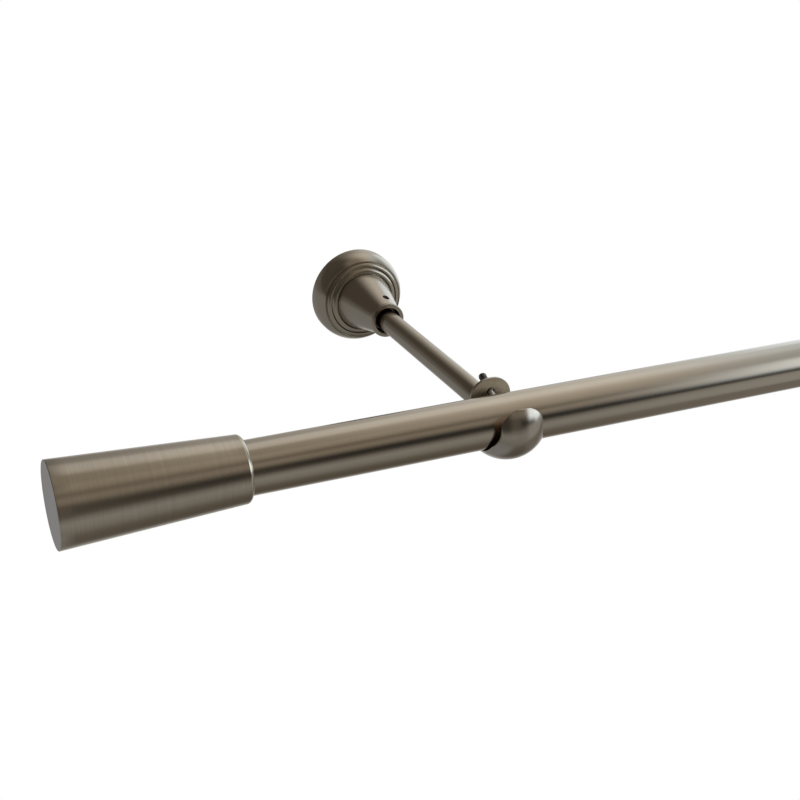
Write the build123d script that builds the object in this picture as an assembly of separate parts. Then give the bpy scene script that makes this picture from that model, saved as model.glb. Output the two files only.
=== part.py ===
from build123d import *
from math import cos, radians, sin, sqrt
import os

os.makedirs("parts", exist_ok=True)

# Axes: X along the rod, +Y into the wall, +Z up; wall face at y = 0
# Clearances
seat_gap = 0.05
slide_gap = 0.08
thread_gap = 0.05
tip_gap = 0.05
join_overlap = 1.0

# Rod
tube_r = 12.5
tube_wall = 1.0
tube_length = 1200.0
tube_edge = 0.2
bracket_inset = 160.0
projection = 188.0

# Screws
m3_r = 1.5
m3_key = 1.5
m4_r = 2.0
m4_key = 2.0
m5_r = 2.5
m5_key = 3.0
grub_chamfer = 0.3
socket_share = 0.9

# Finial
finial_length = 84.0
finial_bore_depth = 30.0
finial_wall = 2.9
finial_flare = 3.9
finial_shoulder = 2.4
finial_rim = 0.4
finial_screw_at = 12.0
finial_screw_length = 3.0

# Arm and cradle screw
arm_r = 6.0
arm_chamfer = 0.4
cradle_screw_length = 16.0
cradle_head_r = 4.9
cradle_head_rim = 0.4
tap_allowance = 2.0

# Cradle
side_room = 3.2
cradle_wall = 4.1
ball_lift = 0.6
front_drop = 0.4
front_corner = 7.9
back_rise = 2.4
back_corner = 10.2
lip = 1.2
shoulder_r = 9.0
side_trim = 1.1
wall_foot = 1.0
foot_r = 12.0
boss_r = 7.0
boss_face = 21.5
clamp_angle = 26.0
clamp_length = 16.0
clamp_tip_r = 1.3
clamp_tip_length = 5.0

# Wall plate
plate_r = 23.0
plate_t = 3.0
plate_edge = 0.6
wall_hole_offset = 16.0
wall_hole_r = 2.5
wall_sink_r = 4.75
root_r = 10.5
root_end = 26.0
nose_wall = 1.45
nose_end = 44.0
socket_floor = 4.0
arm_screw_at = 20.0
arm_screw_length = 4.0

# Rose
rose_r = 27.0
rose_band = 3.5
rose_wall = 1.8
crown_at = 13.2
crown_r = 23.6
bead_at = 13.6
bead_r = 22.6
ring_at = 14.8
ring_r = 20.2
cone_at = 16.1
cone_r = 16.9
cone_mid_at = 30.0
cone_mid_r = 13.1
cone_end_at = 46.6
cone_end_r = 9.3
mouth_flare = 0.6
mouth_length = 2.3
mouth_round = 0.5
groove = 0.3
neck_start = 36.0
rose_screw_at = 40.0
rose_screw_angle = 16.0
rose_screw_length = 2.5

# Derived places
bracket_x = tube_length / 2 - bracket_inset
bore_r = tube_r + slide_gap
mouth_r = bore_r + finial_wall
tip_r = mouth_r + finial_flare
finial_mouth_x = tube_length / 2 + seat_gap - finial_bore_depth
channel_r = tube_r + side_room
channel_z = channel_r - tube_r - seat_gap
cradle_r = channel_r + cradle_wall
wall_half = sqrt(cradle_r**2 - channel_r**2) - side_trim
front_height = tube_r - front_drop
back_height = tube_r + back_rise
socket_r = arm_r + seat_gap
nose_r = socket_r + nose_wall
neck_r = nose_r + slide_gap
arm_end = projection - boss_face - seat_gap
plate_plane = Plane(origin=(-bracket_x, 0, 0), x_dir=(1, 0, 0), z_dir=(0, -1, 0))
rod_plane = Plane(origin=(-bracket_x, -projection, 0), x_dir=(1, 0, 0), z_dir=(0, 0, 1))
reach = 3 * cradle_r


def turned(edges):
    """Turn a closed outline of (radius, height) edges about Z."""
    return revolve(Plane.XZ * make_face(edges), Axis.Z, 360)


def rod_bar(radius, length, chamfer):
    """Round bar up Z from the origin with both edges broken."""
    bar = extrude(Circle(radius), length)
    return chamfer_ends(bar, chamfer)


def chamfer_ends(bar, size):
    """Break the first and last round edge along Z."""
    edges = bar.edges().filter_by(GeomType.CIRCLE).sort_by(Axis.Z)
    return chamfer([edges[0], edges[-1]], size)


def hex_pocket(key, depth, top):
    """Cutter for a hexagon socket that opens at the height top."""
    hexagon = RegularPolygon(key / 2, 6, major_radius=False)
    return Pos(0, 0, top - depth) * extrude(hexagon, depth + join_overlap)


def grub(radius, length, key):
    """Set screw with its tip at the origin and its socket up Z."""
    screw = rod_bar(radius, length, grub_chamfer)
    return screw - hex_pocket(key, key * socket_share, length)


def make_tube():
    """Rod: one straight tube with broken ends."""
    wall = Circle(tube_r) - Circle(tube_r - tube_wall)
    tube = extrude(Plane.YZ * wall, tube_length / 2, both=True)
    ends = tube.edges().filter_by(GeomType.CIRCLE)
    return Pos(0, -projection, 0) * chamfer(ends, tube_edge)


def make_finial():
    """Cone with a bore for the rod, a rounded mouth and a flat tip."""
    slope = finial_flare / finial_length
    shoulder_end = mouth_r + slope * finial_shoulder
    outline = [
        Line((bore_r + finial_rim, 0), (mouth_r - finial_shoulder + finial_rim, 0)),
        RadiusArc((mouth_r - finial_shoulder + finial_rim, 0), (shoulder_end, finial_shoulder), -finial_shoulder),
        Line((shoulder_end, finial_shoulder), (tip_r, finial_length - finial_rim)),
        Line((tip_r, finial_length - finial_rim), (tip_r - finial_rim, finial_length)),
        Line((tip_r - finial_rim, finial_length), (0, finial_length)),
        Line((0, finial_length), (0, finial_bore_depth)),
        Line((0, finial_bore_depth), (bore_r, finial_bore_depth)),
        Line((bore_r, finial_bore_depth), (bore_r, finial_rim)),
        Line((bore_r, finial_rim), (bore_r + finial_rim, 0)),
    ]
    hole = Plane(origin=(0, 0, finial_screw_at), z_dir=(-1, 0, 0)) * extrude(
        Circle(m3_r + thread_gap), tip_r + join_overlap
    )
    return finial_plane() * (turned(outline) - hole)


def finial_plane():
    """Plane at the finial mouth: z toward the tip, x straight up."""
    return Plane(origin=(-finial_mouth_x, -projection, 0), x_dir=(0, 0, 1), z_dir=(-1, 0, 0))


def make_finial_screw():
    """Set screw that bears on the underside of the rod."""
    place = Plane(origin=(-tube_r - tip_gap, 0, finial_screw_at), z_dir=(-1, 0, 0))
    return finial_plane() * (place * grub(m3_r, finial_screw_length, m3_key))


def make_arm():
    """Bar from the wall plate to the cradle, tapped at the room end."""
    start = socket_floor + seat_gap
    length = arm_end - start
    tap_depth = cradle_screw_length - (boss_face - channel_r) + tap_allowance
    tap = Pos(0, 0, length - tap_depth) * extrude(Circle(m5_r + thread_gap), tap_depth + join_overlap)
    return plate_plane * (Pos(0, 0, start) * (rod_bar(arm_r, length, arm_chamfer) - tap))


def make_wall_plate():
    """Disc with two screw holes and a stepped boss that holds the arm."""
    outline = Polyline(
        (0, 0),
        (plate_r, 0),
        (plate_r, plate_t - plate_edge),
        (plate_r - plate_edge, plate_t),
        (root_r, plate_t),
        (root_r, root_end - plate_edge),
        (root_r - plate_edge, root_end),
        (nose_r, root_end),
        (nose_r, nose_end - plate_edge),
        (nose_r - plate_edge, nose_end),
        (socket_r, nose_end),
        (socket_r, socket_floor),
        (0, socket_floor),
        close=True,
    )
    plate = turned(outline)
    sink_depth = wall_sink_r - wall_hole_r
    for y in (-wall_hole_offset, wall_hole_offset):
        hole = extrude(Circle(wall_hole_r), plate_t + join_overlap)
        sink = Pos(0, 0, plate_t - sink_depth / 2) * Cone(wall_hole_r, wall_sink_r, sink_depth)
        plate -= Pos(0, y, 0) * (hole + sink)
    return plate_plane * (plate - arm_screw_place() * extrude(Circle(m4_r + thread_gap), root_r))


def arm_screw_place():
    """Underside of the arm, looking out through the boss."""
    return Plane(origin=(0, -arm_r - tip_gap, arm_screw_at), z_dir=(0, -1, 0))


def make_arm_screw():
    """Set screw that locks the arm in its socket."""
    return plate_plane * (arm_screw_place() * grub(m4_r, arm_screw_length, m4_key))


def cradle_screw_outline(grow):
    """Countersunk screw up Z from the top of its head, grown all round."""
    sink = cradle_head_rim + cradle_head_r - m5_r
    return Polyline(
        (0, -grow),
        (cradle_head_r + grow, -grow),
        (cradle_head_r + grow, cradle_head_rim),
        (m5_r + grow, sink),
        (m5_r + grow, cradle_screw_length),
        (0, cradle_screw_length),
        close=True,
    )


def head_plane():
    """Plane at the cradle screw's head: z toward the wall."""
    wall_at_axis = sqrt(channel_r**2 - channel_z**2)
    return Plane(origin=(0, wall_at_axis + seat_gap, 0), x_dir=(1, 0, 0), z_dir=(0, 1, 0))


def make_cradle_screw():
    """Screw from inside the channel into the end of the arm."""
    screw = turned(cradle_screw_outline(0))
    depth = m5_key * socket_share
    pocket = Pos(0, 0, -join_overlap) * extrude(
        RegularPolygon(m5_key / 2, 6, major_radius=False), depth + join_overlap
    )
    return rod_plane * (head_plane() * (screw - pocket))


def clamp_plane():
    """Plane at the rod's surface: z outward along the clamp screw."""
    tilt = radians(clamp_angle)
    out = Vector(0, cos(tilt), sin(tilt))
    return Plane(origin=out * (tube_r + tip_gap), x_dir=(1, 0, 0), z_dir=out)


def make_clamp_screw():
    """Long set screw whose thin tip presses the rod down and forward."""
    body = Pos(0, 0, clamp_tip_length) * grub(m4_r, clamp_length - clamp_tip_length, m4_key)
    tip = rod_bar(clamp_tip_r, clamp_tip_length + join_overlap, grub_chamfer)
    return rod_plane * (clamp_plane() * (body + tip))


def ball():
    """Round body of the cradle, a little above the rod's axis."""
    outline = [
        RadiusArc((cradle_r, ball_lift), (0, ball_lift - cradle_r), cradle_r),
        Line((0, ball_lift - cradle_r), (0, ball_lift + cradle_r)),
        RadiusArc((0, ball_lift + cradle_r), (cradle_r, ball_lift), cradle_r),
    ]
    return turned(outline)


def thimble(top):
    """The ball drawn up to a taller wall with a shoulder and a thin lip at the top."""
    inset = channel_r + lip - (cradle_r - shoulder_r)
    centre = top - sqrt(shoulder_r**2 - inset**2)
    crown = centre + shoulder_r
    outline = [
        RadiusArc((cradle_r, ball_lift), (0, ball_lift - cradle_r), cradle_r),
        Line((0, ball_lift - cradle_r), (0, crown)),
        Line((0, crown), (cradle_r - shoulder_r, crown)),
        RadiusArc((cradle_r - shoulder_r, crown), (cradle_r, centre), shoulder_r),
        Line((cradle_r, centre), (cradle_r, ball_lift)),
    ]
    return turned(outline)


def wall_trim(top, corner, side):
    """Cutter around one wall: arched top, straight sides, flared foot."""
    edge = wall_half
    base = top - corner
    far = edge + foot_r
    low = wall_foot - foot_r
    outline = [
        Line((-edge, wall_foot), (-edge, base)),
        RadiusArc((-edge, base), (corner - edge, top), corner),
        Line((corner - edge, top), (edge - corner, top)),
        RadiusArc((edge - corner, top), (edge, base), corner),
        Line((edge, base), (edge, wall_foot)),
        RadiusArc((edge, wall_foot), (far, low), -foot_r),
        Polyline((far, low), (reach, low), (reach, reach), (-reach, reach), (-reach, low), (-far, low)),
        RadiusArc((-far, low), (-edge, wall_foot), -foot_r),
    ]
    return extrude(Plane.XZ * make_face(outline), side * reach)


def make_cradle():
    """Holder cut from a round ball-ended body by a U channel along the rod."""
    half = Pos(0, reach / 2, 0) * Box(2 * reach, reach, 2 * reach)
    cradle = ball() - half + (thimble(back_height) & half)
    channel = Circle(channel_r) + Pos(0, reach / 2) * Rectangle(2 * channel_r, reach)
    cradle -= extrude(Plane.YZ * (Pos(0, channel_z) * channel), reach, both=True)
    cradle -= wall_trim(front_height, front_corner, 1)
    cradle -= wall_trim(back_height, back_corner, -1)
    boss = Plane.XZ.offset(-channel_r - lip) * Circle(boss_r)
    cradle += extrude(boss, channel_r + lip - boss_face)
    cradle -= head_plane() * turned(cradle_screw_outline(seat_gap))
    entry = Plane.XZ.offset(-tube_r) * Circle(cradle_head_r + seat_gap)
    cradle -= extrude(entry, tube_r - head_plane().origin.Y)
    cradle -= clamp_plane() * extrude(Circle(m4_r + thread_gap), clamp_length)
    return rod_plane * cradle


def make_rose():
    """Bell cover: band, crown, two rings, hollow cone and a neck that fits the nose."""
    lip_at = cone_end_at + mouth_flare
    mouth_at = lip_at + mouth_length
    lip_r = cone_end_r + mouth_flare
    crown_step = crown_at - rose_band
    crown_arc = (crown_step**2 + (rose_r - crown_r) ** 2) / (2 * (rose_r - crown_r))
    outline = [
        Line((rose_r - rose_wall, 0), (rose_r, 0)),
        Line((rose_r, 0), (rose_r, rose_band)),
        RadiusArc((rose_r, rose_band), (crown_r, crown_at), -crown_arc),
        Polyline((crown_r, crown_at), (bead_r + groove, crown_at - groove), (bead_r, bead_at)),
        RadiusArc((bead_r, bead_at), (ring_r + groove, ring_at), -2 * (bead_r - ring_r)),
        Polyline((ring_r + groove, ring_at), (ring_r, ring_at - groove), (ring_r - groove, ring_at)),
        RadiusArc((ring_r - groove, ring_at), (cone_r + 2 * groove, cone_at), -2 * (ring_r - cone_r)),
        Polyline((cone_r + 2 * groove, cone_at), (cone_r + groove, cone_at - groove), (cone_r, cone_at)),
        ThreePointArc((cone_r, cone_at), (cone_mid_r, cone_mid_at), (cone_end_r, cone_end_at)),
        Polyline((cone_end_r, cone_end_at), (lip_r, lip_at), (lip_r, mouth_at - mouth_round)),
        RadiusArc((lip_r, mouth_at - mouth_round), (lip_r - mouth_round, mouth_at), -mouth_round),
        Polyline(
            (lip_r - mouth_round, mouth_at),
            (neck_r + groove, mouth_at),
            (neck_r, mouth_at - groove),
            (neck_r, neck_start),
            (cone_mid_r - 2 * rose_wall, neck_start - rose_wall),
            (cone_mid_r - rose_wall, cone_mid_at),
            (cone_r - rose_wall, cone_at - rose_wall),
            (crown_r - rose_wall, crown_at - rose_wall),
            (rose_r - rose_wall, rose_band),
            (rose_r - rose_wall, 0),
        ),
    ]
    return plate_plane * (turned(outline) - rose_screw_place() * extrude(Circle(m4_r + thread_gap), rose_r))


def rose_screw_place():
    """Surface of the nose under the rose's screw, looking outward."""
    turn = radians(rose_screw_angle)
    out = Vector(sin(turn), cos(turn), 0)
    return Plane(origin=out * (nose_r + tip_gap) + Vector(0, 0, rose_screw_at), z_dir=out)


def make_rose_screw():
    """Set screw that locks the rose on the nose."""
    return plate_plane * (rose_screw_place() * grub(m4_r, rose_screw_length, m4_key))


export_step(make_tube(), "parts/tube.step")
left_pieces = {
    "wall_plate": make_wall_plate,
    "arm": make_arm,
    "arm_screw": make_arm_screw,
    "cradle": make_cradle,
    "cradle_screw": make_cradle_screw,
    "clamp_screw": make_clamp_screw,
    "rose": make_rose,
    "rose_screw": make_rose_screw,
    "finial": make_finial,
    "finial_screw": make_finial_screw,
}
for name, make in left_pieces.items():
    piece = make()
    export_step(piece, f"parts/left_{name}.step")
    export_step(mirror(piece, about=Plane.YZ), f"parts/right_{name}.step")
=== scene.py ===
"""Satin nickel curtain rod: tube, cone finials, bell roses, arms and open cradles."""

from __future__ import annotations

import logging
from dataclasses import dataclass, replace
from enum import Enum
from math import asin, atan2, cos, degrees, pi, radians, sin, tau
from typing import Any, Callable, Iterable, Iterator, Sequence

import bmesh
import bpy
from bpy.types import Camera, Material, Mesh, MeshPolygon, Node, NodeSocket, NodeTree, Object
from mathutils import Matrix, Vector

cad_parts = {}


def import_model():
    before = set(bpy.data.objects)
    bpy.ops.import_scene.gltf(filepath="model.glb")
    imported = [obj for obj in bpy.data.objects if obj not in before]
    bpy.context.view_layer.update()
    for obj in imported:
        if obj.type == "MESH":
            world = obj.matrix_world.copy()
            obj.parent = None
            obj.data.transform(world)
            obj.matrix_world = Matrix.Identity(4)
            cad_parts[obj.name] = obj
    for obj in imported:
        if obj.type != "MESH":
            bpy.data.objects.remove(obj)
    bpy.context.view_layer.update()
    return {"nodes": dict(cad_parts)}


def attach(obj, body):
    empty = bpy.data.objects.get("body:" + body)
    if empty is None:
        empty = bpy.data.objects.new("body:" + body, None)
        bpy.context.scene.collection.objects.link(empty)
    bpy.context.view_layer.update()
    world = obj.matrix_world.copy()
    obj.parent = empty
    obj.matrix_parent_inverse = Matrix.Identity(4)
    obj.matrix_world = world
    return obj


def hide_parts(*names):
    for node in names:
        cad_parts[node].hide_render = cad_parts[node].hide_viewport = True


MM = 0.001
FILLET = 0.29  # height of a quarter arc over its chord, as a share of the radius
SOFT_FILLET = 0.12  # the same for a softly broken edge
LOG = logging.getLogger("curtain_rod")

Colour = Triple = tuple[float, float, float]


class Side(Enum):
    """End of the rod with the sign of its X; its CAD nodes and bodies start with its name."""

    LEFT = -1
    RIGHT = 1


class Grain(Enum):
    """Axis that the fine lines of a finish step along."""

    ALONG_X = 0
    ALONG_Y = 1


# Shader expressions


class Number:
    """Output socket of a number that takes part in Python expressions."""

    def __init__(self, graph: Graph, socket: NodeSocket | None) -> None:
        """Wrap an output socket of a graph, or None for a node without outputs."""
        self.graph = graph
        self.socket = socket

    def _math(self, operation: str, first: Any, second: Any) -> Number:
        """Result of a Math node with two numbers or sockets."""
        return self.graph.add("ShaderNodeMath", {"operation": operation}, {0: first, 1: second})

    def __add__(self, other: Any) -> Number:
        """Sum with a number or socket."""
        return self._math("ADD", self, other)

    def __sub__(self, other: Any) -> Number:
        """Difference with a number or socket."""
        return self._math("SUBTRACT", self, other)

    def __rsub__(self, other: Any) -> Number:
        """Difference from a number on the left."""
        return self._math("SUBTRACT", other, self)

    def __mul__(self, other: Any) -> Number:
        """Product with a number or socket."""
        return self._math("MULTIPLY", self, other)

    def __truediv__(self, other: Any) -> Number:
        """Quotient with a number or socket."""
        return self._math("DIVIDE", self, other)

    def angle_to(self, across: Number) -> Number:
        """Angle whose sine side is this number and cosine side is the other, in radians."""
        return self._math("ARCTAN2", self, across)

    def rise(self, low: float, high: float) -> Number:
        """Smooth step from 0 at a low value to 1 at a high one."""
        inputs = {"Value": self, "From Min": low, "From Max": high}
        return self.graph.add("ShaderNodeMapRange", {"interpolation_type": "SMOOTHSTEP"}, inputs)


class Graph:
    """Node tree of a material or a world, filled through one method."""

    MIX_LOW, MIX_HIGH, MIX_RESULT = 6, 7, 2  # places of a Mix node's colour sockets

    def __init__(self, tree: NodeTree) -> None:
        """Empty a node tree, to fill it anew."""
        tree.nodes.clear()
        self.tree = tree

    def add(
        self, kind: str, settings: dict[str, Any] | None = None,
        inputs: dict[int | str, Any] | None = None, output: int | str = 0,
    ) -> Number:
        """Add a node, set its options first and then its sockets.

        Args:
            kind: Node type.
            settings: Options of the node; stops holds the stops of a ramp.
            inputs: Socket's name or place to its value or number.
            output: Name or place of the wanted output.

        Returns:
            The wanted output.
        """
        node = self.tree.nodes.new(kind)
        for key, value in (settings or {}).items():
            if key == "stops":
                self._set_stops(node, value)
            else:
                setattr(node, key, value)
        for key, value in (inputs or {}).items():
            socket = node.inputs[key]
            if isinstance(value, Number):
                self.tree.links.new(value.socket, socket)
            else:
                socket.default_value = value
        return Number(self, node.outputs[output] if node.outputs else None)

    @staticmethod
    def _set_stops(node: Node, stops: Sequence[tuple[float, Colour]]) -> None:
        """Set a colour ramp's stops.

        Args:
            node: Colour ramp node.
            stops: Place and colour of each stop, in order.
        """
        elements = node.color_ramp.elements
        while len(elements) > 1:
            elements.remove(elements[-1])
        for index, (place, colour) in enumerate(stops):
            element = elements[0] if index == 0 else elements.new(place)
            element.position = place
            element.color = (*colour, 1.0)

    def axes(self, output: str) -> tuple[Number, ...]:
        """X, Y and Z of one output of the texture coordinates."""
        point = self.add("ShaderNodeTexCoord", output=output)
        split = self.add("ShaderNodeSeparateXYZ", inputs={0: point}).socket.node
        return tuple(Number(self, split.outputs[place]) for place in range(3))

    def ray(self, kind: str) -> Number:
        """1 for a ray of one kind, such as a camera ray, and 0 for any other."""
        return self.add("ShaderNodeLightPath", output=f"Is {kind} Ray")

    def noise(self, per_metre: float, detail: float) -> Number:
        """Soft noise from 0 to 1 over the piece, by its waves per metre and its octaves."""
        point = self.add("ShaderNodeTexCoord", output="Object")
        sizes = {"Vector": point, "Scale": per_metre, "Detail": detail, "Roughness": 0.5}
        return self.add("ShaderNodeTexNoise", {"noise_dimensions": "3D"}, sizes)

    def lines(self, place: Number, per_metre: float, detail: float) -> Number:
        """Noise from 0 to 1 along one place in metres, which draws fine lines."""
        sizes = {"W": place, "Scale": per_metre, "Detail": detail, "Roughness": 0.6}
        return self.add("ShaderNodeTexNoise", {"noise_dimensions": "1D"}, sizes)

    def blend(self, amount: Number, low: Any, high: Any) -> Number:
        """Mix two colours.

        Args:
            amount: Mix factor.
            low: Colour or socket at 0.
            high: Colour or socket at 1.

        Returns:
            The mixed colour.
        """
        inputs = {0: amount}
        for place, colour in ((self.MIX_LOW, low), (self.MIX_HIGH, high)):
            inputs[place] = colour if isinstance(colour, Number) else (*colour, 1.0)
        return self.add("ShaderNodeMix", {"data_type": "RGBA"}, inputs, self.MIX_RESULT)


# Finishes


CLOUDS_PER_M = 35.0
WAVES_PER_M = 60.0
PATCHES_PER_M = 220.0
GRIT_PER_M = 900.0
PITS_PER_M = 1500.0
BROAD_LINES = 7.0  # fine lines in the width of a broad one
BROAD_DEPTH = 1.5  # depth of the broad lines against the fine ones
FINE_SHARE, BROAD_SHARE, CLOUD_SHARE = 0.45, 0.35, 0.2
ALL_DARK, ALL_LIGHT = 0.3, 0.7


@dataclass(frozen=True)
class MetalFinish:
    """Metal with fine lines, soft cloudy wear and a slight waviness.

    Args:
        name: Name of the material.
        light: Colour on the raised and worn places.
        dark: Colour in the lines.
        roughness: Middle roughness.
        spread: How much the lines change the roughness.
        grain: Axis that the lines step along, or None for a tumbled surface.
        lines_per_mm: Density of the fine lines.
        line_depth: Depth of the lines in millimetres.
        bands: Strength of the broad lines beside the fine ones.
        wave_depth: Depth of the slow waves in millimetres.
        pit_depth: Depth of a fine orange-peel surface in millimetres.
    """

    name: str
    light: Colour
    dark: Colour
    roughness: float
    spread: float = 0.06
    grain: Grain | None = None
    lines_per_mm: float = 4.0
    line_depth: float = 0.002
    bands: float = 1.0
    wave_depth: float = 0.0
    pit_depth: float = 0.0

    def material(self) -> Material:
        """Build the material, or return it where it is there already."""
        known = bpy.data.materials.get(self.name)
        if known:
            return known
        made = bpy.data.materials.new(self.name)
        made.use_nodes = True
        graph = Graph(made.node_tree)
        clouds = graph.noise(CLOUDS_PER_M, 3.0)
        if self.grain is None:
            fine = graph.noise(GRIT_PER_M, 3.0)
            coarse = graph.noise(PATCHES_PER_M, 2.0)
        else:
            place = graph.axes("Object")[self.grain.value]
            fine = graph.lines(place, self.lines_per_mm / MM, 2.0)
            coarse = graph.lines(place, self.lines_per_mm / MM / BROAD_LINES, 3.0)
        broad = coarse * self.bands + 0.5 * (1 - self.bands)
        mixed = fine * FINE_SHARE + broad * BROAD_SHARE + clouds * CLOUD_SHARE
        colour = graph.blend(mixed.rise(ALL_DARK, ALL_LIGHT), self.dark, self.light)
        rough = (mixed - 0.5) * (-2.0 * self.spread) + self.roughness
        height = fine * self.line_depth + broad * (self.line_depth * BROAD_DEPTH)
        if self.wave_depth:
            height = height + graph.noise(WAVES_PER_M, 2.0) * self.wave_depth
        if self.pit_depth:
            height = height + graph.noise(PITS_PER_M, 2.0) * self.pit_depth
        bump = graph.add("ShaderNodeBump", inputs={"Distance": MM, "Height": height})
        look = {"Base Color": colour, "Metallic": 1.0, "Roughness": rough, "Normal": bump}
        surface = graph.add("ShaderNodeBsdfPrincipled", inputs=look)
        graph.add("ShaderNodeOutputMaterial", inputs={"Surface": surface})
        return made


NICKEL_LIGHT = (0.65, 0.61, 0.53)
NICKEL_DARK = (0.57, 0.53, 0.45)
# The arm and the rose take the rod's nickel painted about a quarter darker: painted shade for how they look
# in this light.
SHADED_NICKEL_LIGHT = (0.56, 0.515, 0.435)
SHADED_NICKEL_DARK = (0.48, 0.435, 0.36)
ROD_FINISH = MetalFinish(
    "rod_satin_nickel", NICKEL_LIGHT, NICKEL_DARK, roughness=0.17, spread=0.02,
    grain=Grain.ALONG_X, lines_per_mm=6.0, line_depth=0.0008, bands=0.25,
)
FINIAL_FINISH = replace(
    ROD_FINISH, name="finial_turned_nickel", roughness=0.19, spread=0.03,
    lines_per_mm=2.5, line_depth=0.0025, bands=1.0,
)
FACE_FINISH = MetalFinish(
    "finial_end_face", (0.78, 0.78, 0.77), (0.7, 0.7, 0.69), roughness=0.3, spread=0.03, pit_depth=0.001
)
ARM_FINISH = MetalFinish(
    "arm_shaded_satin_nickel", SHADED_NICKEL_LIGHT, SHADED_NICKEL_DARK, roughness=0.23, spread=0.03,
    grain=Grain.ALONG_Y, lines_per_mm=4.0, line_depth=0.001, bands=0.3,
)
ROSE_FINISH = replace(
    ARM_FINISH, name="rose_shaded_turned_nickel", roughness=0.22, lines_per_mm=3.0, line_depth=0.0007
)
CRADLE_FINISH = MetalFinish(
    "cradle_polished_nickel", (0.58, 0.55, 0.49), (0.51, 0.48, 0.42),
    roughness=0.21, spread=0.03, wave_depth=0.01,
)
# Dark brown colour: painted shade in the channel between the rod and the cradle's walls; the roughness and
# pits are the cast surface's.
CHANNEL_SHADE_FINISH = MetalFinish(
    "channel_painted_shade_nickel", (0.42, 0.31, 0.24), (0.33, 0.24, 0.18),
    roughness=0.42, wave_depth=0.02, pit_depth=0.004,
)
SHOULDER_FINISH = MetalFinish(
    "shoulder_cast_nickel", NICKEL_LIGHT, NICKEL_DARK, roughness=0.36, wave_depth=0.02, pit_depth=0.004
)
# Near-black colour: painted shade inside the rose's hollow and its undercut grooves; the high roughness and
# pits are the raw casting's.
HOLLOW_SHADE_FINISH = MetalFinish(
    "hollow_painted_shade", (0.16, 0.15, 0.13), (0.1, 0.09, 0.08), roughness=0.6, spread=0.08, pit_depth=0.01
)
PLATE_FINISH = MetalFinish(
    "plate_tumbled_zinc", (0.5, 0.49, 0.47), (0.36, 0.35, 0.33), roughness=0.48, spread=0.1,
    line_depth=0.01, wave_depth=0.05, pit_depth=0.01,
)
SCREW_FINISH = MetalFinish(
    "screw_dark_steel", (0.36, 0.35, 0.34), (0.18, 0.17, 0.16), roughness=0.24, pit_depth=0.003
)
# Near-white colour, brighter than any steel: a painted highlight on the turned tip of the clamp screw.
TIP_HIGHLIGHT_FINISH = MetalFinish(
    "screw_tip_painted_highlight", (0.95, 0.94, 0.93), (0.88, 0.87, 0.86), roughness=0.45, spread=0.04, pit_depth=0.001
)


# Turned shapes


DRILL_STEPS, SCREW_STEPS, HEXAGON = 32, 48, 6
OVER = 1.0  # millimetres that a cutter reaches past the surface


class Outline:
    """Half section of a turned piece as (radius, height) points in millimetres."""

    def __init__(self, radius: float, height: float) -> None:
        """Start the outline at a distance from the axis and a place along it."""
        self.points: list[tuple[float, float]] = [(radius, height)]

    def to(self, radius: float, height: float, pieces: int = 1) -> Outline:
        """Straight run to a point, cut into equal pieces.

        Args:
            radius: Distance of the end from the axis.
            height: Place of the end along the axis.
            pieces: Number of pieces.

        Returns:
            The outline itself.
        """
        first_r, first_h = self.points[-1]
        for step in range(1, pieces + 1):
            share = step / pieces
            self.points.append((first_r + (radius - first_r) * share, first_h + (height - first_h) * share))
        return self

    def bend(self, radius: float, height: float, bulge: float, pieces: int) -> Outline:
        """Circular arc to a point.

        Args:
            radius: Distance of the end from the axis.
            height: Place of the end along the axis.
            bulge: Height of the arc over its chord, positive to the left of the run; 0 is straight.
            pieces: Number of straight pieces.

        Returns:
            The outline itself.
        """
        if bulge == 0:
            return self.to(radius, height, pieces)
        start = Vector(self.points[-1])
        end = Vector((radius, height))
        chord = end - start
        half = chord.length / 2
        side = Vector((-chord.y, chord.x)).normalized()
        arc_radius = (half * half + bulge * bulge) / (2 * abs(bulge))
        sign = 1 if bulge > 0 else -1
        centre = (start + end) / 2 + side * (bulge - sign * arc_radius)
        first = atan2(start.y - centre.y, start.x - centre.x)
        sweep = 2 * asin(min(1.0, half / arc_radius))
        if abs(bulge) > arc_radius:
            sweep = tau - sweep
        for step in range(1, pieces + 1):
            angle = first - sign * sweep * step / pieces
            self.points.append((centre.x + arc_radius * cos(angle), centre.y + arc_radius * sin(angle)))
        self.points[-1] = (radius, height)
        return self

    def follow(self, runs: Iterable[tuple[float, float, float, int]]) -> Outline:
        """Several bends one after the other.

        Args:
            runs: Radius and height of each end, bulge and pieces.

        Returns:
            The outline itself.
        """
        for run in runs:
            self.bend(*run)
        return self


def turn_mesh(name: str, outline: Outline, steps: int) -> Mesh:
    """Turn an outline about Z into a closed mesh in metres.

    Args:
        name: Name of the mesh.
        outline: Half section, as a ring or from one pole with a radius of 0 to the other.
        steps: Faces round the axis.

    Returns:
        The mesh, with its faces pointing outwards.
    """
    shape = bmesh.new()
    rings: list[list[bmesh.types.BMVert]] = []
    for radius, height in outline.points:
        if radius == 0:
            rings.append([shape.verts.new((0, 0, height * MM))])
            continue
        turns = [tau * k / steps for k in range(steps)]
        places = [(radius * MM * cos(turn), radius * MM * sin(turn), height * MM) for turn in turns]
        rings.append([shape.verts.new(place) for place in places])
    for lower, upper in zip(rings, rings[1:] + rings[:1]):
        for k in range(steps):
            after = (k + 1) % steps
            round_trip = ((lower, k), (lower, after), (upper, after), (upper, k))
            unique = list(dict.fromkeys(ring[place % len(ring)] for ring, place in round_trip))
            if len(unique) > 2:
                shape.faces.new(unique)
    bmesh.ops.recalc_face_normals(shape, faces=shape.faces)
    mesh = bpy.data.meshes.new(name)
    shape.to_mesh(mesh)
    shape.free()
    return mesh


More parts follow.
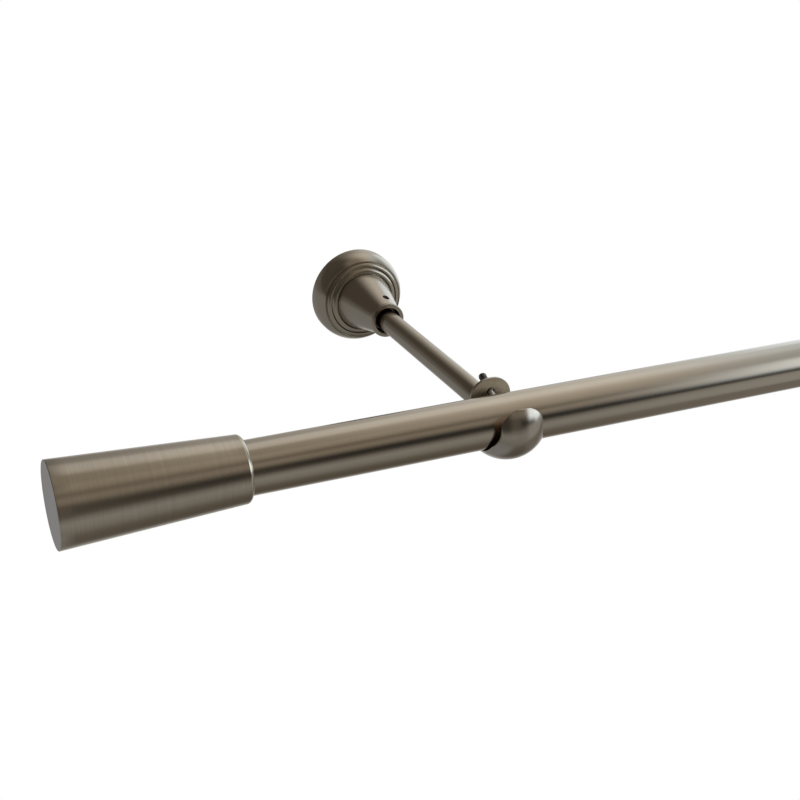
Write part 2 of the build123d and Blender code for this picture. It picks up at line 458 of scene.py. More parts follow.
def axes_matrix(origin: Sequence[float], axis: Vector, across: Vector) -> Matrix:
    """Matrix that puts a piece turned about Z on its own axis.

    Args:
        origin: Place of the piece's zero height, in millimetres.
        axis: Direction of the turning axis.
        across: Direction of the piece's X.

    Returns:
        The matrix in metres.
    """
    z = axis.normalized()
    x = across.normalized()
    y = z.cross(x)
    turn = Matrix((x, y, z)).transposed().to_4x4()
    return Matrix.Translation(Vector(origin) * MM) @ turn


def smooth(mesh: Mesh, angle: float = 28.0) -> None:
    """Shade a mesh smooth, with sharp edges over an angle in degrees."""
    mesh.shade_smooth()
    mesh.set_sharp_from_angle(angle=radians(angle))


def show(data: Mesh | Camera, name: str) -> Object:
    """Link a mesh or a camera to the scene at the origin.

    Args:
        data: Mesh in metres, or a camera.
        name: Name of the object.

    Returns:
        The object.
    """
    piece = bpy.data.objects.new(name, data)
    bpy.context.scene.collection.objects.link(piece)
    return piece


def settle(piece: Object) -> None:
    """Turn an object's modifiers into a plain mesh.

    Args:
        piece: Object with modifiers.
    """
    bpy.context.view_layer.update()
    graph = bpy.context.evaluated_depsgraph_get()
    made = bpy.data.meshes.new_from_object(piece.evaluated_get(graph))
    piece.modifiers.clear()
    piece.data = made


def cut(piece: Object, cutters: Iterable[Object]) -> None:
    """Cut closed shapes out of a piece and delete them.

    Args:
        piece: Piece that is cut.
        cutters: Shapes that are taken out of it.
    """
    for cutter in cutters:
        modifier = piece.modifiers.new("cut", "BOOLEAN")
        modifier.operation = "DIFFERENCE"
        modifier.solver = "EXACT"
        modifier.object = cutter
        settle(piece)
        bpy.data.objects.remove(cutter)


def wear(piece: Object, finish: MetalFinish) -> None:
    """Give a piece one finish all over."""
    piece.data.materials.clear()
    piece.data.materials.append(finish.material())


def wear_where(mesh: Mesh, finish: MetalFinish, chosen: Callable[[MeshPolygon], bool]) -> None:
    """Give some faces of a mesh another finish.

    Args:
        mesh: Mesh in metres.
        finish: Finish of those faces.
        chosen: Whether a face takes it.
    """
    mesh.materials.append(finish.material())
    last = len(mesh.materials) - 1
    for face in mesh.polygons:
        if chosen(face):
            face.material_index = last


def height_on(point: Vector, foot: Sequence[float], along: Vector) -> float:
    """Place in millimetres of a point in metres along an axis that starts at a foot."""
    return (point / MM - Vector(foot)).dot(along)


@dataclass
class TurnedPiece:
    """Piece turned about one axis, which stands for a CAD node of the same size.

    Args:
        node: CAD node that it replaces.
        body: CAD body that it rides on.
        slot: Material slot of the record; not used.
        finish: Surface finish.
        origin: Zero of its heights, in millimetres.
        axis: Turning axis.
        across: Direction of its X.
        steps: Faces round the axis.
    """

    node: str
    body: str
    slot: str
    finish: MetalFinish
    origin: Triple
    axis: Vector
    across: Vector
    steps: int = 160

    def outline(self) -> Outline:
        """Half section of the piece."""
        raise NotImplementedError

    def holes(self) -> list[Object]:
        """Closed shapes that are cut out of the piece."""
        return []

    def dress(self, mesh: Mesh) -> None:
        """Give some faces of the finished piece another finish."""

    def build(self) -> None:
        """Turn, place, drill, mount and dress the piece."""
        place = axes_matrix(self.origin, self.axis, self.across)
        mesh = turn_mesh(f"{self.node}_turned", self.outline(), self.steps)
        mesh.transform(place)
        piece = show(mesh, f"{self.node}_turned")
        cut(piece, self.holes())
        smooth(piece.data)
        wear(piece, self.finish)
        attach(piece, self.body)
        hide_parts(self.node)
        self.dress(piece.data)
        LOG.info("%s: %d faces", piece.name, len(piece.data.polygons))

    def drill(self, start: Vector, direction: Vector, radius: float, length: float) -> Object:
        """Round cutter.

        Args:
            start: Foot of the cutter in the piece's own millimetres.
            direction: Direction in the piece's own axes.
            radius: Radius in millimetres.
            length: Length in millimetres.

        Returns:
            The cutter, placed with the piece.
        """
        outline = Outline(0, 0).to(radius, 0).to(radius, length).to(0, length)
        mesh = turn_mesh("drill", outline, DRILL_STEPS)
        side = direction.orthogonal()
        mesh.transform(axes_matrix(self.origin, self.axis, self.across) @ axes_matrix(start, direction, side))
        return show(mesh, "drill")


BRACKET_X = 440.0
ROD_Y = -188.0
ROD_R = 12.5
HALF_LENGTH = 600.0
ROOT_BODY = "rod_and_brackets"


@dataclass
class RodTube(TurnedPiece):
    """Straight drawn tube with broken ends.

    Args:
        wall: Thickness of the metal.
        edge: Width of the broken edges.
    """

    wall: float = 1.0
    edge: float = 0.2

    def outline(self) -> Outline:
        """Ring section of the tube, from end to end."""
        inner = ROD_R - self.wall
        end = HALF_LENGTH
        line = Outline(ROD_R, -end + self.edge).to(ROD_R, end - self.edge, 24).to(ROD_R - self.edge, end)
        line.to(inner + self.edge, end).to(inner, end - self.edge).to(inner, -end + self.edge, 24)
        return line.to(inner + self.edge, -end).to(ROD_R - self.edge, -end)


@dataclass
class Finial(TurnedPiece):
    """Cone with a bored mouth, a rounded shoulder and a flat tip.

    Args:
        length: Length from the mouth to the tip.
        bore_r, bore_depth: Radius and depth of the bore.
        mouth_r, tip_r: Radius of the cone at the mouth and at the tip.
        shoulder: Radius of the rounding at the mouth.
        rim: Width of the broken edges.
        screw_at, screw_hole_r: Place of the set screw and radius of its hole.
    """

    length: float = 84.0
    bore_r: float = 12.58
    bore_depth: float = 30.0
    mouth_r: float = 15.48
    tip_r: float = 19.38
    shoulder: float = 2.4
    rim: float = 0.4
    screw_at: float = 12.0
    screw_hole_r: float = 1.55

    def outline(self) -> Outline:
        """Half section, from the bore's floor round the mouth to the tip."""
        slope = (self.tip_r - self.mouth_r) / self.length
        shoulder_r = self.mouth_r + slope * self.shoulder
        line = Outline(0, self.bore_depth).to(self.bore_r, self.bore_depth).to(self.bore_r, self.rim)
        line.bend(self.bore_r + self.rim, 0, -SOFT_FILLET * self.rim, 3)
        line.to(self.mouth_r - self.shoulder + self.rim, 0)
        line.bend(shoulder_r, self.shoulder, -FILLET * self.shoulder, 10)
        line.to(self.tip_r, self.length - self.rim, 12)
        line.bend(self.tip_r - self.rim, self.length, -FILLET * self.rim, 4)
        return line.to(self.tip_r / 2, self.length).to(0, self.length)

    def holes(self) -> list[Object]:
        """Hole of the set screw, straight down."""
        start = Vector((0, 0, self.screw_at))
        return [self.drill(start, Vector((-1, 0, 0)), self.screw_hole_r, self.tip_r + OVER)]

    def dress(self, mesh: Mesh) -> None:
        """Give the flat end the finish of a faced cut."""
        tip = self.length - self.rim / 2
        wear_where(mesh, FACE_FINISH, lambda face: height_on(face.center, self.origin, self.axis) > tip)


@dataclass
class Rose(TurnedPiece):
    """Bell cover with a rounded crown, two rings, a hollow cone and a flared mouth.

    Args:
        band_r, band: Radius and height of the band at the wall.
        wall: Thickness of the metal.
        foot: Width of the rounded edge at the wall.
        crown_r, bead_r, ring_r: Radius where the crown, the bead and the ring end.
        crown_at, bead_at, ring_at: Their heights over the wall.
        cone_r, cone_mid_r, cone_end_r: Radius of the cone at its foot, its middle and its end.
        cone_at, cone_mid_at, cone_end_at: Their heights over the wall.
        flare: Width of the flare over the cone.
        mouth, mouth_round: Height of the mouth and rounding of its edge.
        groove: Depth of the grooves beside the rings.
        neck_r, neck_at: Radius of the neck's bore and height where it starts.
        screw_at, screw_turn: Height of the set screw and its angle off the top in degrees.
        screw_hole_r: Radius of its hole.
    """

    TURNED_AWAY = -0.5  # cosine to the outside under which a face takes the painted shade of the hollow

    band_r: float = 27.0
    band: float = 3.5
    wall: float = 1.8
    foot: float = 0.3
    crown_r: float = 23.6
    crown_at: float = 13.2
    bead_r: float = 22.6
    bead_at: float = 13.6
    ring_r: float = 20.2
    ring_at: float = 14.8
    cone_r: float = 16.9
    cone_at: float = 16.1
    cone_mid_r: float = 13.1
    cone_mid_at: float = 30.0
    cone_end_r: float = 9.3
    cone_end_at: float = 46.6
    flare: float = 0.6
    mouth: float = 2.3
    mouth_round: float = 0.5
    groove: float = 0.3
    neck_r: float = 7.58
    neck_at: float = 36.0
    screw_at: float = 40.0
    screw_turn: float = 16.0
    screw_hole_r: float = 2.05

    def outline(self) -> Outline:
        """Closed ring section, up the outside and down the inside."""
        foot, groove, wall = self.foot, self.groove, self.wall
        lip_r, lip_at = self.cone_end_r + self.flare, self.cone_end_at + self.flare
        top = lip_at + self.mouth
        runs = (  # radius, height, bulge and pieces
            (self.band_r - foot, 0, 0, 1),
            (self.band_r, foot, -0.09, 4),
            (self.band_r, self.band, 0, 2),
            (self.crown_r, self.crown_at, -0.87, 16),
            (self.bead_r + groove, self.crown_at - groove, 0.1, 3),
            (self.bead_r, self.bead_at, 0.12, 3),
            (self.ring_r + groove, self.ring_at, -0.35, 8),
            (self.ring_r, self.ring_at - groove, 0.05, 2),
            (self.ring_r - groove, self.ring_at, 0.05, 2),
            (self.cone_r + 2 * groove, self.cone_at, -0.4, 8),
            (self.cone_r + groove, self.cone_at - groove, 0.05, 2),
            (self.cone_r, self.cone_at + 0.1, 0.08, 2),
            (self.cone_end_r, self.cone_end_at, 0.22, 16),
            (lip_r, lip_at, 0.1, 3),
            (lip_r, top - self.mouth_round, 0, 1),
            (lip_r - self.mouth_round, top, -0.15, 5),
            (self.neck_r + groove, top, 0, 1),
            (self.neck_r, top - groove, -0.08, 3),
            (self.neck_r, self.neck_at, 0, 1),
            (self.cone_mid_r - 2 * wall, self.neck_at - wall, 0, 1),
            (self.cone_mid_r - wall, self.cone_mid_at, 0, 1),
            (self.cone_r - wall, self.cone_at - wall, 0, 1),
            (self.crown_r - wall, self.crown_at - wall, 0, 1),
            (self.band_r - wall, self.band, 0, 1),
        )
        return Outline(self.band_r - wall, 0).follow(runs)

    def holes(self) -> list[Object]:
        """Hole of the rose's set screw, turned a little off the top."""
        turn = radians(self.screw_turn)
        out = Vector((sin(turn), cos(turn), 0))
        return [self.drill(Vector((0, 0, self.screw_at)), out, self.screw_hole_r, self.cone_r)]

    def hollow(self, face: MeshPolygon) -> bool:
        """Whether a face looks at the arm or the wall, where the shade inside is painted.

        Args:
            face: Face of the cover.

        Returns:
            True for the inside and the undercut grooves over the band.
        """
        along = face.center - Vector(self.origin) * MM
        from_axis = (along - self.axis * along.dot(self.axis)).normalized()
        facing = min(from_axis.dot(face.normal), self.axis.dot(face.normal))
        return height_on(face.center, self.origin, self.axis) > self.band / 2 and facing < self.TURNED_AWAY

    def dress(self, mesh: Mesh) -> None:
        """Paint the inside and the undercut grooves dark as painted shade; the roughness is the raw
        casting's.
        """
        wear_where(mesh, HOLLOW_SHADE_FINISH, self.hollow)


@dataclass
class Arm(TurnedPiece):
    """Round bar from the wall plate to the cradle.

    Args:
        radius: Radius of the bar.
        start, end: Distances of its ends from the wall.
        edge: Width of the broken edges.
        tap_r, tap_depth: Radius and depth of the tapped hole.
    """

    radius: float = 6.0
    start: float = 4.05
    end: float = 166.45
    edge: float = 0.4
    tap_r: float = 2.55
    tap_depth: float = 12.2

    def outline(self) -> Outline:
        """Half section, with the tapped hole at the room end."""
        line = Outline(0, self.start).to(self.radius - self.edge, self.start)
        line.bend(self.radius, self.start + self.edge, -FILLET * self.edge, 3)
        line.to(self.radius, self.end - self.edge, 8)
        line.bend(self.radius - self.edge, self.end, -FILLET * self.edge, 3)
        floor = self.end - self.tap_depth
        return line.to(self.tap_r, self.end).to(self.tap_r, floor).to(0, floor)


# Screws with threads


class ThreadTree:
    """Geometry Nodes tree that winds a thread round a plain screw body."""

    STEPS, SIDES = 28, 4  # points on one turn of the helix, sides of the ridge
    INPUTS = {"Start": 0.001, "Length": 0.01, "Core Radius": 0.0016, "Depth": 0.0004, "Pitch": 0.0007}

    def __init__(self, finish: MetalFinish) -> None:
        """Build the tree.

        Args:
            finish: Finish that the whole screw takes.
        """
        self.tree = bpy.data.node_groups.new("screw_thread", "GeometryNodeTree")
        face = self.tree.interface
        face.new_socket("Geometry", in_out="INPUT", socket_type="NodeSocketGeometry")
        self.sockets: dict[str, str] = {}
        for name, value in self.INPUTS.items():
            socket = face.new_socket(name, in_out="INPUT", socket_type="NodeSocketFloat")
            socket.default_value = value
            self.sockets[name] = socket.identifier
        face.new_socket("Geometry", in_out="OUTPUT", socket_type="NodeSocketGeometry")
        self.graph = Graph(self.tree)
        self._wire(finish)

    def _wire(self, finish: MetalFinish) -> None:
        """Lay out the nodes: a helix with a four-sided ridge, joined to the core.

        Args:
            finish: Finish that Set Material gives.
        """
        graph = self.graph
        entry = graph.add("NodeGroupInput").socket.node
        given = {name: Number(graph, entry.outputs[name]) for name in self.INPUTS}
        core = Number(graph, entry.outputs["Geometry"])
        core_r, length = given["Core Radius"], given["Length"]
        winding = {"Resolution": self.STEPS, "Rotations": length / given["Pitch"], "Height": length}
        winding |= {"Start Radius": core_r, "End Radius": core_r}
        helix = graph.add("GeometryNodeCurveSpiral", inputs=winding)
        upright = graph.add("GeometryNodeSetCurveNormal", {"mode": "Z_UP"}, {"Curve": helix})
        section = {"Resolution": self.SIDES, "Radius": given["Depth"]}
        ridge = graph.add("GeometryNodeCurvePrimitiveCircle", {"mode": "RADIUS"}, section)
        sweep = {"Curve": upright, "Profile Curve": ridge, "Fill Caps": True}
        swept = graph.add("GeometryNodeCurveToMesh", inputs=sweep)
        shift = graph.add("ShaderNodeCombineXYZ", inputs={"Z": given["Start"]})
        raised = graph.add("GeometryNodeTransform", inputs={"Geometry": swept, "Translation": shift})
        joined = graph.add("GeometryNodeJoinGeometry")
        for part in (core, raised):
            self.tree.links.new(part.socket, joined.socket.node.inputs[0])
        real = graph.add("GeometryNodeRealizeInstances", inputs={"Geometry": joined})
        dress = {"Geometry": real, "Material": finish.material()}
        dressed = graph.add("GeometryNodeSetMaterial", inputs=dress)
        graph.add("NodeGroupOutput", inputs={"Geometry": dressed})

    def wind(self, piece: Object, sizes: dict[str, float]) -> None:
        """Wind the thread on a piece that stands up Z at the origin.

        Args:
            piece: Core of the screw.
            sizes: Named sizes in metres.
        """
        modifier = piece.modifiers.new("thread", "NODES")
        modifier.node_group = self.tree
        for name, value in sizes.items():
            modifier[self.sockets[name]] = value
        settle(piece)


@dataclass
class SocketScrew:
    """Set screw with a hexagon socket and a cut thread.

    Args:
        node: CAD node that it replaces.
        body: CAD body that it rides on.
        tip: Place of the tip in millimetres.
        out: Direction from the tip to the socket.
        radius: Radius over the thread.
        length: Length in millimetres.
        key: Size across the socket's flats.
        pitch: Pitch of the thread.
        tip_r: Radius of the thin tip.
        tip_length: Length of the thin tip in millimetres.
        depth: Depth of the thread.
        chamfer: Width of the rounded edge of the tip.
        edge: Width of the broken edge at the socket.
        step: Rise of the step between the tip and the thread.
    """

    SOCKET_DEPTH = 0.9  # depth of the socket as a share of its key
    THREAD_MARGIN = 1.6  # plain run at both ends of the thread, in thread depths
    SHARP = 25.0  # degrees over which an edge stays sharp

    node: str
    body: str
    tip: Triple
    out: Vector
    radius: float
    length: float
    key: float
    pitch: float
    tip_r: float
    tip_length: float
    depth: float = 0.3
    chamfer: float = 0.3
    edge: float = 0.15
    step: float = 0.05

    def core(self) -> Object:
        """Plain body with its socket, up Z from the origin."""
        root = self.radius - self.depth
        top = self.length
        line = Outline(0, 0).to(self.tip_r - self.chamfer, 0)
        line.bend(self.tip_r, self.chamfer, -FILLET * self.chamfer, 4).to(self.tip_r, self.tip_length)
        line.to(root, self.tip_length + self.step).to(root, top - self.edge)
        line.to(root - self.edge, top).to(0, top)
        name = f"{self.node}_threaded"
        piece = show(turn_mesh(name, line, SCREW_STEPS), name)
        corner_r = self.key / 2 / cos(pi / HEXAGON)
        floor = top - self.key * self.SOCKET_DEPTH
        hexagon = Outline(0, floor).to(corner_r, floor).to(corner_r, top + OVER).to(0, top + OVER)
        cut(piece, [show(turn_mesh("pocket", hexagon, HEXAGON), "pocket")])
        return piece

    def build(self, thread: ThreadTree) -> None:
        """Cut the thread, place the screw, dress it and mount it.

        Args:
            thread: Tree that winds the thread.
        """
        piece = self.core()
        smooth(piece.data, self.SHARP)
        margin = self.THREAD_MARGIN * self.depth
        sizes = {
            "Start": (self.tip_length + margin) * MM,
            "Length": (self.length - self.tip_length - 2 * margin) * MM,
            "Core Radius": (self.radius - self.depth) * MM,
            "Depth": self.depth * MM,
            "Pitch": self.pitch * MM,
        }
        thread.wind(piece, sizes)
        piece.data.transform(axes_matrix(self.tip, self.out, Vector((1, 0, 0))))
        # The thin tip takes the painted highlight.
        start = self.tip_length
        wear_where(piece.data, TIP_HIGHLIGHT_FINISH, lambda face: height_on(face.center, self.tip, self.out) < start)
        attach(piece, self.body)
        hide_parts(self.node)
        LOG.info("%s: %d faces", piece.name, len(piece.data.polygons))


# Cradle


@dataclass
class Cradle:
    """Open holder of the rod, taken from its CAD node with its facets smoothed.

    Args:
        side: End of the rod.
        ball_r: Radius of the ball.
        ball_lift: Height of the ball's centre over the rod's axis.
        channel_r: Radius of the channel.
        channel_lift: Height of the channel's axis over the rod's axis.
        shoulder_r: Radius of the shoulder of the back wall.
        shoulder_lift: Height of the shoulder's centre.
        angle: Angle in degrees over which an edge is a rim.
        rim: Width of the rounded rims.
    """

    MERGE = 0.03  # millimetres under which corners become one
    FLAT = 0.4  # degrees under which faces become one
    ON_SURFACE, ALONG_SURFACE = 0.03, 0.96  # gap and cosine at which a corner takes the exact normal
    NEAR_CHANNEL, INTO_CHANNEL = 0.3, 0.8  # gap and cosine at which a face is the channel's

    side: Side
    ball_r: float = 19.8
    ball_lift: float = 0.6
    channel_r: float = 15.7
    channel_lift: float = 3.15
    shoulder_r: float = 9.0
    shoulder_lift: float = 8.283
    angle: float = 32.0
    rim: float = 0.12

    def local(self, point: Vector) -> Vector:
        """Point in millimetres from the rod's axis in the middle of the cradle."""
        return point / MM - Vector((self.side.value * BRACKET_X, ROD_Y, 0))

    def surfaces(self, point: Vector) -> Iterator[tuple[float, Vector]]:
        """Exact surfaces near a point, with the channel as the last one.

        Args:
            point: Place from the rod's axis.

        Yields:
            Distance to the surface and its outward direction there.
        """
        ball = point - Vector((0, 0, self.ball_lift))
        yield ball.length - self.ball_r, ball
        upright = Vector((point.x, point.y, 0))
        yield upright.length - self.ball_r, upright
        ring = upright.normalized() * (self.ball_r - self.shoulder_r) + Vector((0, 0, self.shoulder_lift))
        yield (point - ring).length - self.shoulder_r, point - ring
        channel = Vector((0, -point.y, max(self.channel_lift - point.z, 0)))
        yield channel.length - self.channel_r, channel

    def round_off(self, mesh: Mesh) -> None:
        """Give the facets of the round surfaces their exact normals.

        Args:
            mesh: Mesh in metres.
        """
        normals = [Vector(corner.vector) for corner in mesh.corner_normals]
        for face in mesh.polygons:
            for corner in face.loop_indices:
                point = self.local(mesh.vertices[mesh.loops[corner].vertex_index].co)
                for gap, direction in self.surfaces(point):
                    exact = direction.normalized()
                    if abs(gap) < self.ON_SURFACE and exact.dot(face.normal) > self.ALONG_SURFACE:
                        normals[corner] = exact
                        break
        mesh.normals_split_custom_set(normals)

    def inside(self, face: MeshPolygon) -> bool:
        """Whether a face looks into the channel."""
        *_, (gap, towards) = self.surfaces(self.local(face.center))
        return abs(gap) < self.NEAR_CHANNEL and towards.normalized().dot(face.normal) > self.INTO_CHANNEL

    def upright(self, face: MeshPolygon) -> bool:
        """Whether a face is on the back wall, over the channel's axis."""
        point = self.local(face.center)
        return point.y > 0 and point.z > self.channel_lift

    def build(self, nodes: dict[str, Object]) -> None:
        """Merge a copy of the node, round its sharp rims, shade it smooth and mount it.

        Args:
            nodes: CAD nodes by name.
        """
        name = f"{self.side.name.lower()}_cradle"
        shape = bmesh.new()
        shape.from_mesh(nodes[name].data)
        bmesh.ops.remove_doubles(shape, verts=shape.verts, dist=self.MERGE * MM)
        flat = radians(self.FLAT)
        bmesh.ops.dissolve_limit(shape, angle_limit=flat, verts=shape.verts, edges=shape.edges)
        mesh = bpy.data.meshes.new(f"{name}_polished")
        shape.to_mesh(mesh)
        shape.free()
        piece = show(mesh, f"{name}_polished")
        rounding = piece.modifiers.new("rim", "BEVEL")
        rounding.width = self.rim * MM
        rounding.segments = 2
        rounding.limit_method = "ANGLE"
        rounding.angle_limit = radians(self.angle)
        rounding.use_clamp_overlap = False
        settle(piece)
        smooth(piece.data, self.angle)
        self.round_off(piece.data)
        wear(piece, CRADLE_FINISH)
        # The channel's faces take the painted shade; the upright back wall over the channel's axis keeps the
        # plain nickel colour.
        wear_where(piece.data, CHANNEL_SHADE_FINISH, self.inside)
        wear_where(piece.data, SHOULDER_FINISH, lambda face: self.inside(face) and self.upright(face))
        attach(piece, ROOT_BODY)
        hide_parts(name)
        LOG.info("%s: %d faces", piece.name, len(piece.data.polygons))


# Sub-assemblies


@dataclass
class Bracket:
    """Wall bracket: wall plate, arm, rose, cradle and their screws.

    Args:
        side: End of the rod.
        thread: Tree that winds the thread of the clamp screw.
        clamp_tilt: Angle of the clamp screw over the horizontal in degrees.
        clamp_length: Length of the clamp screw.
        tip_gap: Gap between its tip and the rod.
    """

    side: Side
    thread: ThreadTree
    clamp_tilt: float = 26.0
    clamp_length: float = 16.0
    tip_gap: float = 0.05

    def build(self, nodes: dict[str, Object]) -> None:
        """Build the visible pieces and dress the CAD nodes that stay.

        Args:
            nodes: CAD nodes by name.
        """
        label = self.side.name.lower()
        middle = self.side.value * BRACKET_X
        axes = {"origin": (middle, 0, 0), "axis": Vector((0, -1, 0)), "across": Vector((1, 0, 0))}
        rose = Rose(f"{label}_rose", f"{label}_cover", "turned_nickel", ROSE_FINISH, **axes)
        rose.screw_turn *= -self.side.value
        rose.build()
        Arm(f"{label}_arm", ROOT_BODY, "satin_nickel", ARM_FINISH, steps=96, **axes).build()
        Cradle(self.side).build(nodes)
        tilt = radians(self.clamp_tilt)
        out = Vector((0, cos(tilt), sin(tilt)))
        tip = Vector((middle, ROD_Y, 0)) + out * (ROD_R + self.tip_gap)
        sizes = {"radius": 2.0, "length": self.clamp_length, "key": 2.0, "pitch": 0.7}
        sizes |= {"tip_r": 1.3, "tip_length": 5.0}
        screw = SocketScrew(f"{label}_clamp_screw", f"{label}_clamp", tuple(tip), out, **sizes)
        screw.build(self.thread)
        wear(nodes[f"{label}_wall_plate"], PLATE_FINISH)
        for hidden in ("arm_screw", "cradle_screw", "rose_screw"):
            wear(nodes[f"{label}_{hidden}"], SCREW_FINISH)


@dataclass
class RodEnd:
    """Finial with its set screw.

    Args:
        side: End of the rod.
        overlap: Length of the rod inside the finial.
    """

    side: Side
    overlap: float = 29.95

    def build(self, nodes: dict[str, Object]) -> None:
        """Build the finial and dress its screw.

        Args:
            nodes: CAD nodes by name.
        """
        label = self.side.name.lower()
        mouth = (self.side.value * (HALF_LENGTH - self.overlap), ROD_Y, 0)
        axes = {"origin": mouth, "axis": Vector((self.side.value, 0, 0)), "across": Vector((0, 0, 1))}
        Finial(f"{label}_finial", f"{label}_end", "turned_nickel", FINIAL_FINISH, steps=192, **axes).build()
        wear(nodes[f"{label}_finial_screw"], SCREW_FINISH)


# Studio

WHITE = (1, 1, 1, 1)


@dataclass(frozen=True)
class Band:
    """Brightness of the room at one angle about the rod's direction.

    Args:
        angle: Degrees up from the horizon in front of the wall; 180 is the wall side.
        level: Brightness, where 1 is the white background.
        warmth: 0 for neutral, 1 for the warmest.
    """

    angle: float
    level: float
    warmth: float


@dataclass(frozen=True)
class Panel:
    """Soft-edged light or dark area of the room, laid over its bands.

    Args:
        angles: First and last angle in degrees, as for a band.
        places: First and last place along the rod's direction, from -1 left to 1 right.
        level: Brightness.
        warmth: 0 for neutral, 1 for the warmest.
        angle_soft: Degrees over which it fades at both angles.
        place_soft: Width over which it fades at both places.
    """

    angles: tuple[float, float]
    places: tuple[float, float]
    level: float
    warmth: float
    angle_soft: float
    place_soft: float

    def mask(self, angle: Number, place: Number) -> Number:
        """Share of the panel in a direction.

        Args:
            angle: Angle of the direction in degrees.
            place: Place of the direction along the rod.

        Returns:
            A number from 0 outside to 1 inside.
        """
        low, high = self.angles
        left, right = self.places
        above = angle.rise(low - self.angle_soft, low) * (1.0 - angle.rise(high, high + self.angle_soft))
        beside = place.rise(left - self.place_soft, left) * (1.0 - place.rise(right, right + self.place_soft))
        return above * beside


@dataclass
class Room:
    """World that is white to the camera and a plain soft room to the metal.

    Args:
        bands: Brightness by angle.
        panels: Areas over the bands, each over the ones before it.
        warm, cool: Colour of light with warmth 1 and 0.
    """

    bands: tuple[Band, ...] = tuple(Band(*row) for row in (
        (-180, 0.5, 0.1), (-135, 0.6, 0.1), (-118, 0.28, 0.3), (-104, 0.12, 0.6), (-88, 0.11, 0.9),
        (-68, 0.14, 0.8), (-48, 0.24, 0.4), (-28, 0.29, 0.3), (-15, 0.2, 0.4), (-3, 0.05, 0.7),
        (9, 0.01, 0.8), (17, 0.08, 0.8), (25, 0.2, 0.9), (34, 0.25, 0.9), (46, 0.14, 1.0), (58, 0.3, 0.9),
        (68, 0.4, 0.8), (85, 0.5, 0.7), (100, 0.64, 0.6), (114, 0.8, 0.4), (128, 0.82, 0.3),
        (150, 0.68, 0.3), (180, 0.66, 0.1),
    ))
    panels: tuple[Panel, ...] = tuple(Panel(*row) for row in (
        ((150, 200), (-2, 0.16), 0.42, 0.4, 18, 0.38),
        ((76, 176), (-2, -0.25), 0.08, 0.9, 30, 0.8),
        ((78, 96), (-2, 0.16), 0.24, 0.9, 10, 0.34),
        ((-176, -64), (-2, -0.05), 0.27, 0.1, 14, 0.25),
        ((170, 200), (-2, -0.05), 0.16, 0.4, 14, 0.25),
        ((-200, -180), (-2, -0.05), 0.16, 0.4, 12, 0.25),
        ((-6, 14), (-2, 0.16), 0.11, 0.8, 6, 0.16),
        ((-6, 90), (-2, -0.38), 0.05, 0.8, 26, 0.3),
        ((56, 70), (-2, -0.36), 0.12, 0.8, 18, 0.3),
        ((-110, -45), (0.85, 2), 0.4, 0.4, 10, 0.2),
        ((62, 100), (0.72, 2), 0.52, -0.5, 12, 0.2),
        ((22, 46), (0.72, 2), 1.5, -0.3, 22, 0.19),
        ((-100, -62), (0.62, 2), 0.2, 0.6, 12, 0.2),
        ((-46, -13), (0.66, 2), 0.36, 0.3, 15, 0.2),
        ((118, 172), (0.7, 2), 0.7, -0.5, 30, 0.2),
        ((72, 116), (0.85, 2), 0.3, 0.5, 14, 0.2),
        ((150, 200), (0.66, 0.84), 1.15, -0.3, 14, 0.08),
        ((-200, -166), (0.62, 0.82), 1.2, -0.3, 10, 0.1),
        ((4, 60), (0.93, 2), 1.5, -0.4, 14, 0.14),
    ))
    warm: Colour = (1.13, 0.93, 0.72)
    cool: Colour = (1.0, 1.0, 1.0)

    def colour(self, level: float, warmth: float) -> tuple[float, ...]:
        """Colour of a brightness with its warmth."""
        return tuple(level * (w * warmth + c * (1 - warmth)) for w, c in zip(self.warm, self.cool))

    def build(self) -> None:
        """Set up the world."""
        world = bpy.data.worlds.new("room")
        bpy.context.scene.world = world
        world.use_nodes = True
        graph = Graph(world.node_tree)
        x, y, z = graph.axes("Generated")
        angle = z.angle_to(y * -1.0) * degrees(1.0)
        stops = [((band.angle + 180) / 360, self.colour(band.level, band.warmth)) for band in self.bands]
        seen = graph.add("ShaderNodeValToRGB", {"stops": stops}, {"Fac": angle / 360.0 + 0.5}, output="Color")
        for panel in self.panels:
            seen = graph.blend(panel.mask(angle, x), seen, self.colour(panel.level, panel.warmth))
        room = graph.add("ShaderNodeBackground", inputs={"Color": seen})
        white = graph.add("ShaderNodeBackground", inputs={"Color": WHITE})
        clear = graph.ray("Camera") + graph.ray("Transmission")
        mixed = graph.add("ShaderNodeMixShader", inputs={0: clear, 1: room, 2: white})
        graph.add("ShaderNodeOutputWorld", inputs={"Surface": mixed})


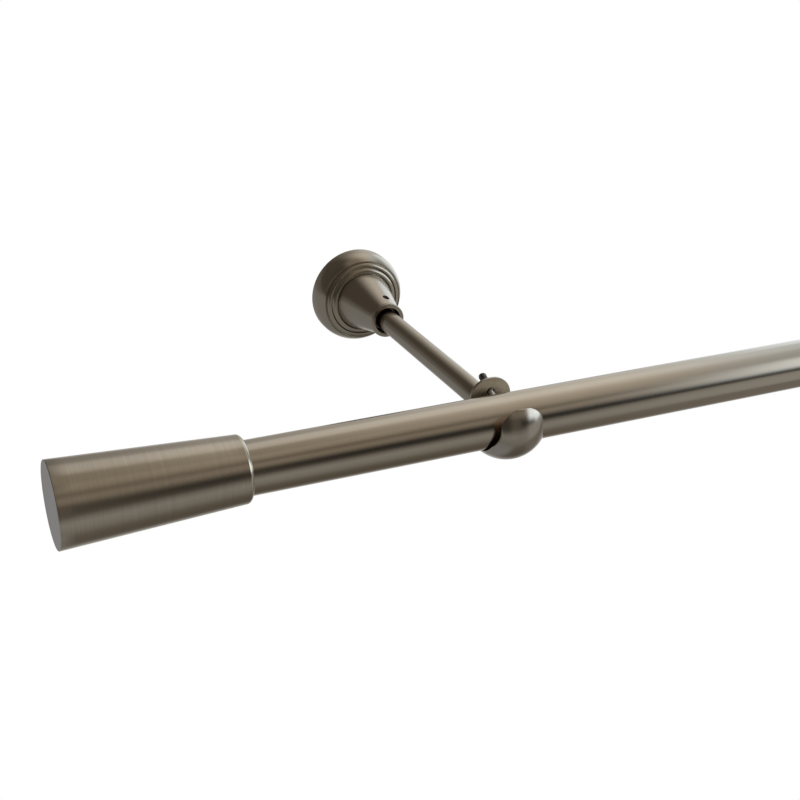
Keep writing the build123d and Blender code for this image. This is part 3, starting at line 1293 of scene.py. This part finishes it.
@dataclass
class Floor:
    """Plain pale floor well below the rod.

    Args:
        height: Height in metres.
        half: Half of its width in metres.
    """

    height: float = -0.9
    half: float = 6.0

    def build(self) -> None:
        """Lay the floor, which glossy rays don't see."""
        signs = ((-1, -1), (1, -1), (1, 1), (-1, 1))
        corners = [(x * self.half, y * self.half, self.height) for x, y in signs]
        mesh = bpy.data.meshes.new("floor")
        mesh.from_pydata(corners, [], [(0, 1, 2, 3)])
        made = bpy.data.materials.new("pale_floor")
        made.use_nodes = True
        graph = Graph(made.node_tree)
        paint = graph.add("ShaderNodeBsdfDiffuse", inputs={"Color": (0.8, 0.8, 0.8, 1)})
        white = graph.add("ShaderNodeEmission", inputs={"Color": WHITE})
        mixed = graph.add("ShaderNodeMixShader", inputs={0: graph.ray("Camera"), 1: paint, 2: white})
        graph.add("ShaderNodeOutputMaterial", inputs={"Surface": mixed})
        mesh.materials.append(made)
        floor = show(mesh, "floor")
        floor.visible_glossy = False


@dataclass
class PhotoCamera:
    """Camera at the photograph's viewing angle, in the rod's frame.

    Args:
        place: Place in millimetres.
        right, down, forward: Directions of the picture's right side, its lower side and the view.
        lens, sensor: Focal length and width of the sensor in millimetres.
        clip: Nearest and farthest distance that it sees, in metres.
    """

    place: Triple = (-716.81, -667.12, 265.01)
    right: Triple = (0.91070337, -0.41278832, 0.01500596)
    down: Triple = (-0.16152426, -0.38932427, -0.90682773)
    forward: Triple = (0.38017008, 0.82342724, -0.42123425)
    lens: float = 57.701
    sensor: float = 36.0
    clip: tuple[float, float] = (0.01, 50.0)

    def build(self) -> None:
        """Make the camera and hand it to the scene."""
        data = bpy.data.cameras.new("camera")
        data.lens = self.lens
        data.sensor_width = self.sensor
        data.clip_start, data.clip_end = self.clip
        camera = show(data, "camera")
        turn = Matrix((self.right, -Vector(self.down), -Vector(self.forward))).transposed()
        camera.matrix_world = Matrix.Translation(Vector(self.place) * MM) @ turn.to_4x4()
        bpy.context.scene.camera = camera


def main() -> None:
    """Load the frame and build the studio and the rod in order; each piece logs its face count."""
    logging.basicConfig(level=logging.INFO, format="%(name)s: %(message)s")
    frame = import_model()
    bpy.context.scene.view_settings.view_transform = "Standard"
    PhotoCamera().build()
    Room().build()
    Floor().build()
    nodes = frame["nodes"]
    tube_axes = {"origin": (0, ROD_Y, 0), "axis": Vector((1, 0, 0)), "across": Vector((0, 0, 1))}
    RodTube("tube", ROOT_BODY, "rod_nickel", ROD_FINISH, **tube_axes).build()
    thread = ThreadTree(SCREW_FINISH)
    for side in Side:
        Bracket(side, thread).build(nodes)
        RodEnd(side).build(nodes)


if __name__ == "__main__":
    main()
